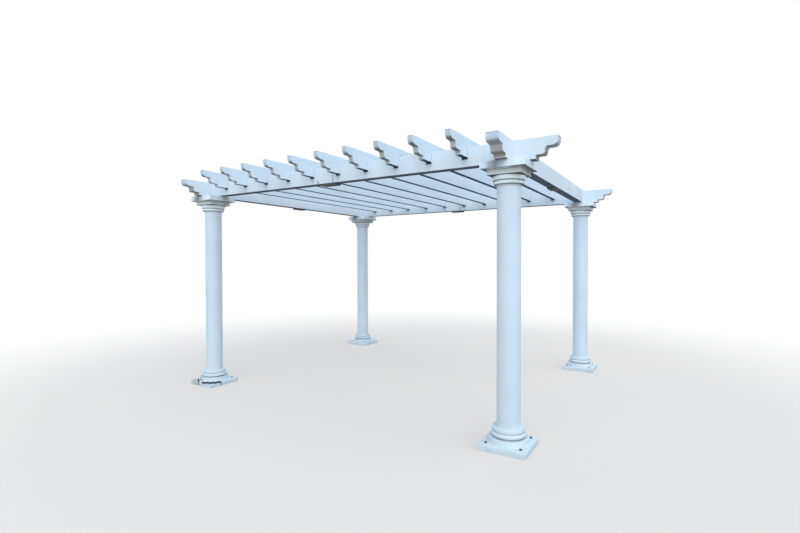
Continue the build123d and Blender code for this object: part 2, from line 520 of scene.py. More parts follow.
class Coat(Enum):
    """Every finish on the pergola."""

    BEAM_X = Vinyl("beam_vinyl_x", Run.ALONG_X, (0.83, 0.875, 0.915), (0.74, 0.79, 0.82), runoff=0.42)
    BEAM_Y = Vinyl("beam_vinyl_y", Run.ALONG_Y, (0.88, 0.91, 0.95), (0.78, 0.82, 0.87), stains=BEAM_DRIPS)
    # The tail caps are coloured darker than the skins, which is painted shade for end faces that look out and
    # down.
    BEAM_CAP = Vinyl(
        "beam_cap", Run.NONE, (0.71, 0.76, 0.82), (0.62, 0.62, 0.60), soffit_grime_and_shade=0.6,
        soffit_grime_and_shade_colour=(0.18, 0.18, 0.16), soil_and_shade=0.85,
        soil_and_shade_top=BEAM_FOOT + 0.111, soil_and_shade_bottom=BEAM_FOOT + 0.056,
    )
    RAFTER = Vinyl(
        "rafter_vinyl", Run.ALONG_Y, (0.82, 0.885, 0.95), (0.72, 0.785, 0.85),
        soffit_grime_and_shade_colour=(0.042, 0.08, 0.12), stains=(RAFTER_SPOT,),
    )
    # The rafters' caps are also coloured darker than their skins, as painted shade.
    RAFTER_CAP = Vinyl(
        "rafter_cap", Run.NONE, (0.66, 0.70, 0.72), (0.54, 0.54, 0.47), soffit_grime_and_shade=0.8,
        soffit_grime_and_shade_colour=(0.12, 0.125, 0.12), soil_and_shade=0.3,
        soil_and_shade_top=RAFTER_BED + 0.12, soil_and_shade_bottom=RAFTER_BED + 0.05,
    )
    SHAFT = Vinyl("shaft_vinyl", Run.UPRIGHT, roughness=0.44, splash_height=0.34)
    BASE = Vinyl(
        "moulded_base", Run.NONE, (0.80, 0.84, 0.87), roughness=0.52, splash_height=0.05, dust=0.2,
        stains=(PLINTH_LICHEN,),
    )
    RINGS = Vinyl(
        "capital_rings", Run.NONE, (0.94, 0.96, 0.96), (0.86, 0.88, 0.88), soffit_grime_and_shade=0.9,
        soffit_grime_and_shade_colour=(0.10, 0.12, 0.11), crevice_grime_and_shade=0.7, stains=(GREEN_STAIN,),
    )
    BED = Vinyl(
        "bed_moulding", Run.NONE, (0.77, 0.76, 0.72), (0.66, 0.64, 0.58), soffit_grime_and_shade=0.9,
        soffit_grime_and_shade_colour=(0.08, 0.09, 0.09), crevice_grime_and_shade=0.3, stains=(BROWN_STAIN, BED_DARK_PATCH),
    )
    # The abacus is coloured whiter than the other vinyl, which paints in light where the tails above shade
    # it.
    ABACUS = Vinyl(
        "abacus_vinyl", Run.NONE, (0.95, 0.98, 1.0), (0.90, 0.94, 0.98), soffit_grime_and_shade=0.9,
        soffit_grime_and_shade_colour=(0.10, 0.115, 0.12), crevice_grime_and_shade=0.0, stains=(BROWN_STAIN,),
    )
    CORE = TimberAndShade("core_timber")
    # Painted shade: the dark blue colour inside the open slots under the rafters.
    SLOT_SHADE = TimberAndShade("slot_shade", (0.17, 0.18, 0.23), (0.11, 0.12, 0.16))
    GAP = TimberAndShade("gap_shade", (0.085, 0.09, 0.10), (0.05, 0.055, 0.065))
    # The plates' paint is dark, partly as paint and partly as painted shade under the beams.
    PLATE = PaintedMetal("plate_paint_and_shade", (0.13, 0.13, 0.12), 0.25, roughness=0.7, gloss=0.02)
    SCREW = PaintedMetal("screw_zinc", (0.30, 0.31, 0.32), 0.55)
    ANCHOR = PaintedMetal("anchor_rust", (0.09, 0.075, 0.065), 0.7, roughness=0.6)

    @cached_property
    def material(self) -> Material:
        """The finish's material, made when it is first asked for."""
        return self.value.material()


# Mesh tools


@dataclass(frozen=True)
class Corner:
    """A corner of an outline: its place, how far it is rounded, and the faces round it."""

    across: float
    up: float
    radius: float = 0.0
    segments: int = 6


def outline_face(bm: BMesh, corners: Sequence[Corner], depth: float = 0.0) -> None:
    """Draw a closed outline in the XZ plane and round its corners.

    Args:
        bm: The mesh to draw in.
        corners: The outline, in order.
        depth: The outline's Y.
    """
    points = [bm.verts.new((corner.across, depth, corner.up)) for corner in corners]
    bm.faces.new(points)
    for point, corner in zip(points, corners):
        if corner.radius:
            bmesh.ops.bevel(
                bm, geom=[point], offset=corner.radius, offset_type="OFFSET", affect="VERTICES",
                segments=corner.segments, profile=0.5, material=-1,
            )


def extruded(bm: BMesh, faces: Iterable[BMFace], move: Sequence[float]) -> list[BMVert]:
    """Extrude faces.

    Args:
        bm: The mesh.
        faces: The faces to extrude.
        move: How far to move them.

    Returns:
        The moved points.
    """
    result = bmesh.ops.extrude_face_region(bm, geom=list(faces))["geom"]
    moved = [item for item in result if isinstance(item, BMVert)]
    bmesh.ops.translate(bm, verts=moved, vec=move)
    return moved


def rounded(bm: BMesh, edges: Iterable[BMEdge], radius: float, segments: int = 3) -> None:
    """Round edges.

    Args:
        bm: The mesh.
        edges: The edges.
        radius: The rounding's width.
        segments: Faces across it.
    """
    bmesh.ops.bevel(
        bm, geom=list(edges), offset=radius, offset_type="OFFSET", affect="EDGES",
        segments=segments, profile=0.5, material=-1, clamp_overlap=True,
    )


def clean_up(bm: BMesh) -> None:
    """Merge doubled points and turn every face outwards."""
    bmesh.ops.remove_doubles(bm, verts=bm.verts[:], dist=MERGE_DISTANCE)
    bmesh.ops.recalc_face_normals(bm, faces=bm.faces[:])


def turned(corners: Sequence[Corner], axis: Vector, steps: int) -> BMesh:
    """Spin a half outline, which starts and ends on the axis, into a closed solid.

    Args:
        corners: The half outline, from the axis out and back to it.
        axis: A point on the upright axis.
        steps: Faces round the solid.

    Returns:
        The solid.
    """
    bm = bmesh.new()
    outline_face(bm, corners)
    bmesh.ops.delete(bm, geom=bm.faces[:], context="FACES_ONLY")
    on_axis = [e for e in bm.edges if all(abs(v.co.x) < MERGE_DISTANCE for v in e.verts)]
    bmesh.ops.delete(bm, geom=on_axis, context="EDGES")
    bmesh.ops.spin(
        bm, geom=bm.verts[:] + bm.edges[:], cent=(0, 0, 0), axis=(0, 0, 1),
        angle=math.tau, steps=steps, use_merge=True,
    )
    clean_up(bm)
    bmesh.ops.translate(bm, verts=bm.verts[:], vec=axis)
    return bm


def blocks(*boxes: Box) -> BMesh:
    """Make plain boxes.

    Args:
        boxes: The lowest and highest corner of each box. No two of them touch.

    Returns:
        The boxes.
    """
    bm = bmesh.new()
    for low, high in boxes:
        place = Matrix.Translation((low + high) / 2) @ Matrix.Diagonal((*(high - low), 1.0))
        bmesh.ops.create_cube(bm, size=1.0, matrix=place)
    return bm


def box_of(x: Range, y: Range, z: Range) -> Box:
    """Return the lowest and highest corner of the box that fills three ranges."""
    return Vector((x[0], y[0], z[0])), Vector((x[1], y[1], z[1]))


def foot_of(low: Vector, high: Vector) -> Vector:
    """Return the middle of a box's foot."""
    return Vector(((low.x + high.x) / 2, (low.y + high.y) / 2, low.z))


def shade(mesh: Mesh) -> None:
    """Shade a mesh smooth, with sharp creases."""
    mesh.shade_smooth()
    mesh.set_sharp_from_angle(angle=CREASE_ANGLE)


def put_in(bm: BMesh, name: str, *coats: Coat) -> Object:
    """Turn a bmesh into an object.

    Args:
        bm: The mesh, which is freed.
        name: The object's name.
        coats: Its coats, in the order of the faces' indices.

    Returns:
        The object, linked to the scene.
    """
    clean_up(bm)
    mesh = bpy.data.meshes.new(name)
    bm.to_mesh(mesh)
    bm.free()
    for coat in coats:
        mesh.materials.append(coat.material)
    shade(mesh)
    piece = bpy.data.objects.new(name, mesh)
    bpy.context.scene.collection.objects.link(piece)
    return piece


def declare(piece: Object, slot: Slot, *nodes: str) -> None:
    """Let a piece ride on the body, hide the frame's nodes that it stands for, and log its size and slot.

    Args:
        piece: The finished piece.
        slot: The slot that the log names.
        nodes: The frame's nodes that it stands for.
    """
    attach(piece, BODY)
    if nodes:
        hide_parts(*nodes)
    faces = sum(len(polygon.vertices) - 2 for polygon in piece.data.polygons)
    log.info("%s: %d triangles, slot %s", piece.name, faces, slot.value)


def carve(piece: Object, bm: BMesh, *coats: Coat) -> None:
    """Take closed shapes away from a piece and coat the cuts.

    Args:
        piece: The piece.
        bm: The shapes, which are freed.
        coats: The cut faces' coats, in the order of the shapes' indices.
    """
    cutter = put_in(bm, "cutter", *coats)
    difference = piece.modifiers.new("cut", "BOOLEAN")
    difference.operation = "DIFFERENCE"
    difference.solver = "EXACT"
    difference.material_mode = "TRANSFER"
    difference.object = cutter
    bpy.context.view_layer.update()
    mesh = bpy.data.meshes.new_from_object(piece.evaluated_get(bpy.context.evaluated_depsgraph_get()))
    piece.modifiers.clear()
    spent = (piece.data, cutter.data)
    piece.data = mesh
    bpy.data.objects.remove(cutter)
    for old in spent:
        bpy.data.meshes.remove(old)
    mesh.name = piece.name
    shade(mesh)


# Columns


@dataclass(frozen=True)
class Break:
    """A corner broken off a plinth, with every place measured from the middle of its top.

    Attributes:
        line: The ragged line that it broke along, from edge to edge.
        outer: A point beyond the corner, which closes the line into an outline.
        gap: The open crack's width.
        drop: How far the corner has sunk.
    """

    line: tuple[Range, ...]
    outer: Range
    gap: float
    drop: float

    def snap(self, piece: Object, top: Vector) -> None:
        """Let the corner sink, and open the crack down to the ground.

        Args:
            piece: The plinth.
            top: The middle of its top.
        """
        *line, outer = (top + Vector((*point, CLEAR)) for point in (*self.line, self.outer))
        bm = bmesh.new()
        bm.faces.new([bm.verts.new(point) for point in (*line, outer)])
        sunk = extruded(bm, bm.faces[:], (0, 0, -CLEAR - self.drop))
        for face in bm.faces:
            face.material_index = int(all(vert in sunk for vert in face.verts))
        carve(piece, bm, Coat.GAP, Coat.BASE)

        bm = bmesh.new()
        rims = []
        for number, point in enumerate(line):
            along = line[min(number + 1, len(line) - 1)] - line[max(number - 1, 0)]
            aside = Vector((-along.y, along.x, 0.0)).normalized() * (self.gap / 2)
            rims.append([bm.verts.new(point + aside), bm.verts.new(point - aside)])
        for (one, two), (next_one, next_two) in zip(rims, rims[1:]):
            bm.faces.new((one, next_one, next_two, two))
        extruded(bm, bm.faces[:], (0, 0, -top.z - 2 * CLEAR))
        carve(piece, bm, Coat.GAP)


COLUMNS = ("front_left", "front_right", "back_left", "back_right")
BROKEN_PLINTH = "front_left"
PLINTH_BREAKS = (
    Break(
        (
            (0.020, -0.250), (0.022, -0.178), (0.060, -0.182), (0.076, -0.146), (0.118, -0.158),
            (0.118, -0.116), (0.160, -0.114), (0.152, -0.070), (0.188, -0.058), (0.250, -0.008),
        ),
        outer=(0.250, -0.250), gap=0.008, drop=0.021,
    ),
    Break(
        (
            (-0.250, -0.068), (-0.172, -0.086), (-0.152, -0.118), (-0.112, -0.144), (-0.086, -0.168),
            (-0.046, -0.182), (-0.026, -0.250),
        ),
        outer=(-0.250, -0.250), gap=0.022, drop=0.006,
    ),
)


@dataclass
class Column:
    """One round column on its plinth, up to the abacus that carries the beams.

    Attributes:
        place: The column's name, such as front_left.
        steps: Faces round each turning.
        lip_drop: From the top of the shaft down to the fine lip round it.
        echinus_lean: How far its curve stands in, as a share of its overhang.
        bed_gap: Height of the open joint between the echinus and the bed mould.
        abacus_seam: Where the seam is, from the abacus's middle.
    """

    place: str
    steps: int = 96

    plinth_edge: float = 0.005
    drum_height: float = 0.043
    drum_edge: float = 0.004
    torus_radius: float = 0.141
    torus_height: float = 0.045
    torus_seat: float = 0.004
    torus_slack: float = 0.0001
    base_ring_radius: float = 0.130
    fine_edge: float = 0.002
    groove_height: float = 0.005
    groove_depth: float = 0.008
    lip_proud: float = 0.0008
    lip_drop: float = 0.062
    lip_height: float = 0.006
    lip_edge: float = 0.0006
    neck_height: float = 0.004
    neck_overhang: float = 0.003
    capital_ring_radius: float = 0.123
    capital_ring_height: float = 0.027
    ring_rounding: float = 0.009
    ring_top_edge: float = 0.003
    echinus_lean: float = 0.35
    echinus_step: float = 0.003
    echinus_curve: float = 0.010
    echinus_edge: float = 0.004
    echinus_band: float = 0.014
    bed_gap: float = 0.008
    bed_gap_depth: float = 0.012
    bed_gap_edge: float = 0.0015
    bed_lip_height: float = 0.012
    bed_cove_depth: float = 0.005
    bed_flare: float = 0.003
    bed_top_height: float = 0.008
    bed_edge: float = 0.001
    abacus_edge: float = 0.0025
    abacus_seam: float = -0.057
    seam_top_width: float = 0.0064
    seam_bottom_width: float = 0.0008
    seam_depth: float = 0.006

    def node(self, part: str) -> str:
        """Return the name of one of this column's parts."""
        return f"{self.place}_{part}"

    def levels(self, part: str) -> tuple[Vector, float, float]:
        """Return the middle of a part's foot, its height and its half width."""
        low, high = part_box(self.node(part))
        return foot_of(low, high), high.z - low.z, (high.x - low.x) / 2

    def build(self) -> None:
        """Build and dress every part of the column."""
        self.build_plinth()
        self.build_base_turning()
        self.build_shaft()
        self.build_capital_turning()
        self.build_bed_mould()
        self.build_abacus()

    def build_plinth(self) -> None:
        """Build the square plinth with softened edges, and break one of the four."""
        low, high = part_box(self.node("plinth"))
        bm = blocks((low, high))
        worn = [e for e in bm.edges if max(v.co.z for v in e.verts) > low.z + self.plinth_edge]
        rounded(bm, worn, self.plinth_edge)
        piece = put_in(bm, self.node("plinth_block"), Coat.BASE)
        if self.place == BROKEN_PLINTH:
            top = foot_of(low, high) + Vector((0, 0, high.z - low.z))
            for broken in PLINTH_BREAKS:
                broken.snap(piece, top)
        declare(piece, Slot.BASE, self.node("plinth"))

    def build_base_turning(self) -> None:
        """Turn the low drum, the torus, the groove and the ring round the foot of the shaft."""
        foot, height, radius = self.levels("base_turning")
        torus, ring = self.torus_radius, self.base_ring_radius
        bulge = (self.torus_height - self.torus_seat) / 2
        seat = self.drum_height + self.torus_seat
        torus_top = self.drum_height + self.torus_height
        groove, groove_top = ring - self.groove_depth, torus_top + self.groove_height
        round_bulge = bulge - self.torus_slack
        bm = turned([
            Corner(0, height), Corner(0, 0), Corner(radius, 0),
            Corner(radius, self.drum_height, self.drum_edge, 3),
            Corner(torus - bulge, self.drum_height), Corner(torus - bulge, seat),
            Corner(torus, seat, round_bulge, 10), Corner(torus, torus_top, round_bulge, 10),
            Corner(groove, torus_top), Corner(groove, groove_top),
            Corner(ring, groove_top, self.fine_edge, 3), Corner(ring, height, self.ring_rounding, 7),
        ], foot, self.steps)
        declare(put_in(bm, self.node("base_rings"), Coat.BASE), Slot.BASE, self.node("base_turning"))

    def build_shaft(self) -> None:
        """Turn the plain shaft, with the fine lip a little below its capital."""
        foot, height, radius = self.levels("shaft")
        slim = radius - self.lip_proud
        lip_bottom = height - self.lip_drop
        lip_top = lip_bottom + self.lip_height
        bm = turned([
            Corner(0, height), Corner(0, 0), Corner(slim, 0), Corner(slim, lip_bottom),
            Corner(radius, lip_bottom, self.lip_edge, 2), Corner(radius, lip_top, self.lip_edge, 2),
            Corner(slim, lip_top), Corner(slim, height),
        ], foot, self.steps)
        declare(put_in(bm, self.node("shaft_tube"), Coat.SHAFT), Slot.SHAFT, self.node("shaft"))

    def build_capital_turning(self) -> None:
        """Turn the neck, the lower ring, the groove, the echinus and the open joint above it."""
        foot, height, radius = self.levels("capital_turning")
        ring = self.capital_ring_radius
        ring_top = self.neck_height + self.capital_ring_height
        groove, groove_top = ring - self.groove_depth, ring_top + self.groove_height
        neck = self.levels("shaft")[2] + self.neck_overhang
        lean = radius - self.echinus_lean * (radius - ring)
        gap, gap_bottom = radius - self.bed_gap_depth, height - self.bed_gap
        bm = turned([
            Corner(0, height), Corner(0, 0), Corner(neck, 0, self.fine_edge, 3),
            Corner(neck, self.neck_height), Corner(ring, self.neck_height, self.ring_rounding, 7),
            Corner(ring, ring_top, self.ring_top_edge, 3),
            Corner(groove, ring_top), Corner(groove, groove_top), Corner(ring, groove_top),
            Corner(lean, groove_top + self.echinus_step, self.echinus_curve, 6),
            Corner(radius, height - self.echinus_band, self.echinus_edge, 4),
            Corner(radius, gap_bottom, self.bed_gap_edge, 2), Corner(gap, gap_bottom), Corner(gap, height),
        ], foot, self.steps)
        piece = put_in(bm, self.node("capital_rings"), Coat.RINGS)
        declare(piece, Slot.CAPITAL, self.node("capital_turning"))

    def build_bed_mould(self) -> None:
        """Spin the bed mould in four steps, which mitres its lip, shallow cove and flare."""
        foot, height, half = self.levels("bed_mould")
        lip = half - self.bed_flare
        cove = lip - self.bed_cove_depth
        flare_foot = height - self.bed_top_height
        section = [
            (0, height), (0, 0), (lip, 0), (lip, self.bed_lip_height), (cove, self.bed_lip_height),
            (cove, flare_foot), (half, flare_foot), (half, height),
        ]
        bm = turned([Corner(across * math.sqrt(2.0), up) for across, up in section], Vector(), 4)
        edges = [e for e in bm.edges if e.calc_face_angle(0.0) > CREASE_ANGLE]
        rounded(bm, edges, self.bed_edge, 2)
        bmesh.ops.rotate(bm, verts=bm.verts[:], matrix=Matrix.Rotation(math.pi / 4, 3, "Z"))
        bmesh.ops.translate(bm, verts=bm.verts[:], vec=foot)
        declare(put_in(bm, self.node("bed_moulding"), Coat.BED), Slot.CAPITAL, self.node("bed_mould"))

    def build_abacus(self) -> None:
        """Build the abacus with the fine upright seam where its two parts meet."""
        low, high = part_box(self.node("abacus"))
        centre, size = (low + high) / 2, high - low
        seam = centre.x + self.abacus_seam
        bm = blocks((low, high))
        rounded(bm, bm.edges[:], self.abacus_edge)
        taper = (self.seam_top_width - self.seam_bottom_width) / size.z
        for side in (-0.5, 0.5):
            bmesh.ops.bisect_plane(
                bm, geom=bm.verts[:] + bm.edges[:] + bm.faces[:], dist=MERGE_DISTANCE,
                plane_co=(seam + side * self.seam_top_width, 0, high.z), plane_no=(1, 0, -side * taper),
            )
        strip = [f for f in bm.faces if abs(f.calc_center_median().x - seam) < self.seam_bottom_width / 2]
        floor = extruded(bm, strip, (0, 0, 0))
        depth = 2 * self.seam_depth
        bmesh.ops.scale(
            bm, verts=floor, vec=(1.0, 1.0 - depth / size.y, 1.0 - depth / size.z),
            space=Matrix.Translation(-centre),
        )
        for face in bm.faces:
            face.material_index = int(all(vert in floor for vert in face.verts))
        piece = put_in(bm, self.node("abacus_block"), Coat.ABACUS, Coat.GAP)
        declare(piece, Slot.CAPITAL, self.node("abacus"))


# Beams and rafters


@dataclass
class ScrollMember:
    """A straight vinyl member that fills its box, with a recessed cap on both scroll-cut tails.

    The scroll is a round nose, a cove, a toe and a riser, and is measured from the tail's tip and
    from the underside.

    Attributes:
        riser_setback: From the tip to the riser, where the full depth starts.
        edge_radius: Rounding of the four long edges.
        wall: Thickness of the rim round each cap.
        cap_recess: How far each cap stands back.
        cap_step: How far the cap lies inside the rim.
    """

    low: Vector
    high: Vector
    riser_setback: float
    nose_height: float = 0.093
    nose_radius: float = 0.045
    cove_setback: float = 0.098
    cove_radius: float = 0.024
    toe_height: float = 0.032
    toe_radius: float = 0.026
    edge_radius: float = 0.0035
    wall: float = 0.0045
    cap_recess: float = 0.0025
    cap_step: float = 0.0004

    def __post_init__(self) -> None:
        """Take the reach, width and height from the box, whose longer level side is the length."""
        x, y, self.height = (high - low for low, high in zip(self.low, self.high))
        self.reach, self.width, self.turn = max(x, y) / 2, min(x, y), math.pi / 2 if y > x else 0.0

    def piece(self, name: str, skin: Coat, cap: Coat) -> Object:
        """Shape the member along X, then turn it and move it into its box.

        Args:
            name: The piece's name.
            skin: The coat of its sides.
            cap: The coat of its tail caps.

        Returns:
            The member.
        """
        right = self.tail()
        left = [replace(corner, across=-corner.across) for corner in reversed(right)]
        bm = bmesh.new()
        outline_face(bm, right + left, -self.width / 2)
        extruded(bm, bm.faces[:], (0, self.width, 0))
        clean_up(bm)
        rounded(bm, self.long_edges(bm), self.edge_radius)
        bmesh.ops.recalc_face_normals(bm, faces=bm.faces[:])
        for side in (-1, 1):
            self.recess_cap(bm, side)
        bmesh.ops.transform(bm, matrix=Matrix.Rotation(self.turn, 4, "Z"), verts=bm.verts[:])
        bmesh.ops.translate(bm, verts=bm.verts[:], vec=foot_of(self.low, self.high))
        return put_in(bm, name, skin, cap)

    def tail(self) -> list[Corner]:
        """List the corners of the right tail, from its top down to the riser's foot.

        Returns:
            The corners.
        """
        cove, riser = self.reach - self.cove_setback, self.reach - self.riser_setback
        return [
            Corner(self.reach, self.height), Corner(self.reach, self.nose_height, self.nose_radius, 10),
            Corner(cove, self.nose_height, self.cove_radius, 8),
            Corner(cove, self.toe_height, self.toe_radius, 8),
            Corner(riser, self.toe_height), Corner(riser, 0.0),
        ]

    def long_edges(self, bm: BMesh) -> list[BMEdge]:
        """Find the edges that run the member's length on its top and underside.

        Args:
            bm: The member.

        Returns:
            The edges.
        """
        found = []
        for edge in bm.edges:
            first, second = (vert.co for vert in edge.verts)
            level = max(abs(first.y - second.y), abs(first.z - second.z)) < MERGE_DISTANCE
            at_face = min(first.z, self.height - first.z) < MERGE_DISTANCE
            if level and at_face and edge.calc_length() > self.width:
                found.append(edge)
        return found

    def recess_cap(self, bm: BMesh, side: int) -> None:
        """Set back the cap inside the rim of one tail.

        Args:
            bm: The member.
            side: -1 for the left tail and 1 for the right one.
        """
        riser = self.reach - self.riser_setback - NEAR
        sideways, upwards = 0.1, 0.3
        faces = [
            f for f in bm.faces
            if side * f.calc_center_median().x > riser and abs(f.normal.y) < sideways and f.normal.z < upwards
        ]
        for thickness, depth in ((self.wall, 0.0), (self.cap_step, -self.cap_recess)):
            bmesh.ops.inset_region(
                bm, faces=faces, use_boundary=True, use_even_offset=True, thickness=thickness, depth=depth,
            )
        for face in faces:
            face.material_index = 1


@dataclass
class BeamFrame:
    """The two long beams, each in two lengths, and the two end beams lapped over them.

    Attributes:
        splice: Where the two lengths of a long beam meet.
        joint_gap: Half the gap left in that joint.
        slot_depth: How far the open slot under each rafter goes in from each face.
        slot_overlap: How far it reaches up into the rafter's pocket.
        skin_joint: Where an end beam's skin is joined.
        chip_place: Where the front beam's lower edge is chipped.
    """

    riser_setback: float = 0.167
    splice: float = 0.080
    joint_gap: float = 0.0023
    lap_gap: float = 0.0003
    pocket_half_width: float = 0.0269
    slot_height: float = 0.016
    slot_depth: float = 0.022
    slot_overlap: float = 0.004
    skin_joint: float = 1.240
    skin_joint_width: float = 0.0040
    skin_joint_depth: float = 0.004
    chip_place: float = -0.115
    chip_height: float = 0.017
    chip_half_size: Point = (0.007, 0.030, 0.011)

    def build(self) -> None:
        """Build and dress every beam."""
        for side in SIDES:
            for end in ENDS:
                self.build_length(side, end)
        for end in ENDS:
            self.build_end_beam(end)

    def build_length(self, side: str, end: str) -> None:
        """Build one length of a long beam, by cutting the whole beam at its splice.

        Args:
            side: front or back.
            end: left or right.
        """
        low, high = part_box(f"{side}_beam_left_length")[0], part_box(f"{side}_beam_right_length")[1]
        node = f"{side}_beam_{end}_length"
        piece = ScrollMember(low, high, self.riser_setback).piece(f"{node}_skin", Coat.BEAM_X, Coat.BEAM_CAP)

        across = (low.y - CLEAR, high.y + CLEAR)
        if end == "left":
            waste = (self.splice - self.joint_gap, high.x + CLEAR)
        else:
            waste = (low.x - CLEAR, self.splice + self.joint_gap)
        carve(piece, blocks(box_of(waste, across, (low.z - CLEAR, high.z + CLEAR))), Coat.CORE)

        end_low, end_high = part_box(f"{end}_end_beam")
        lap = (end_low.x - self.lap_gap, end_high.x + self.lap_gap)
        openings = [box_of(lap, across, ((low.z + high.z) / 2, high.z + CLEAR))]
        slots = []
        slot_rise = (RAFTER_BED - self.slot_height, RAFTER_BED + self.slot_overlap)
        for x in (foot_of(*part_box(rafter)).x for rafter in RAFTERS):
            if (x < self.splice) == (end == "left"):
                width = (x - self.pocket_half_width, x + self.pocket_half_width)
                openings.append(box_of(width, across, (RAFTER_BED, high.z + CLEAR)))
                slots.append(box_of(width, (low.y - CLEAR, low.y + self.slot_depth), slot_rise))
                slots.append(box_of(width, (high.y - self.slot_depth, high.y + CLEAR), slot_rise))
        carve(piece, blocks(*openings), Coat.CORE)
        # The slots' insides take the dark colour that paints in shade.
        carve(piece, blocks(*slots), Coat.SLOT_SHADE)
        if (side, end) == ("front", "left"):
            spot = Vector((self.chip_place, low.y, low.z + self.chip_height))
            half = Vector(self.chip_half_size)
            carve(piece, blocks((spot - half, spot + half)), Coat.CORE)
        declare(piece, Slot.BEAM, node)

    def build_end_beam(self, end: str) -> None:
        """Build one end beam, lapped over the long beams.

        Args:
            end: left or right.
        """
        node = f"{end}_end_beam"
        low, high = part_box(node)
        piece = ScrollMember(low, high, self.riser_setback).piece(f"{node}_skin", Coat.BEAM_Y, Coat.BEAM_CAP)

        across, lower_half = (low.x - CLEAR, high.x + CLEAR), (low.z - CLEAR, (low.z + high.z) / 2)
        laps = []
        for side in SIDES:
            beam_low, beam_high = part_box(f"{side}_beam_left_length")
            laps.append(box_of(across, (beam_low.y - self.lap_gap, beam_high.y + self.lap_gap), lower_half))
        carve(piece, blocks(*laps), Coat.CORE)

        outer = high.x if end == "right" else low.x
        half = self.skin_joint_width / 2
        joint = box_of(
            (outer - self.skin_joint_depth, outer + self.skin_joint_depth),
            (self.skin_joint - half, self.skin_joint + half), (low.z - CLEAR, high.z + CLEAR),
        )
        carve(piece, blocks(joint), Coat.CORE)
        declare(piece, Slot.BEAM, node)


@dataclass
class Rafters:
    """The ten rafters that lie in the long beams' pockets."""

    riser_setback: float = 0.188
    edge_radius: float = 0.003

    def build(self) -> None:
        """Build and dress every rafter."""
        for node in RAFTERS:
            member = ScrollMember(*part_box(node), self.riser_setback, edge_radius=self.edge_radius)
            piece = member.piece(f"{node}_board", Coat.RAFTER, Coat.RAFTER_CAP)
            declare(piece, Slot.RAFTER, node)


# Metalwork


@dataclass(frozen=True)
class DomedHead:
    """The domed head of a screw or an anchor, with a round recess.

    Attributes:
        radius: Its radius.
        rise: How far it stands proud.
        sink: How far it goes into what it holds.
        crown: The radius of its flat top, as a share of its own.
        rim: The width of the rim round the recess, as a share of its radius.
        slope: The width of the recess's wall, as a share of its radius.
        recess: The recess's depth, as a share of its rise.
    """

    radius: float
    rise: float
    sink: float = 0.001
    crown: float = 0.62
    rim: float = 0.22
    slope: float = 0.05
    recess: float = 0.45

    def add(self, bm: BMesh, point: Vector, out: Vector) -> None:
        """Add one head to a mesh.

        Args:
            bm: The mesh.
            point: The middle of the head's seat.
            out: The direction that it looks.
        """
        depth = self.rise + self.sink
        turn = out.to_track_quat("Z", "Y").to_matrix().to_4x4()
        seat = Matrix.Translation(point - self.sink * out) @ turn
        made = bmesh.ops.create_cone(
            bm, cap_ends=True, cap_tris=False, segments=16, depth=depth,
            radius1=self.radius, radius2=self.crown * self.radius,
            matrix=seat @ Matrix.Translation((0, 0, depth / 2)),
        )["verts"]
        top = max((f for v in made for f in v.link_faces), key=lambda f: f.calc_center_median().dot(out))
        for width, fall in ((self.rim, 0.0), (self.slope, self.recess)):
            bmesh.ops.inset_region(
                bm, faces=[top], use_even_offset=True, thickness=width * self.radius, depth=-fall * self.rise,
            )


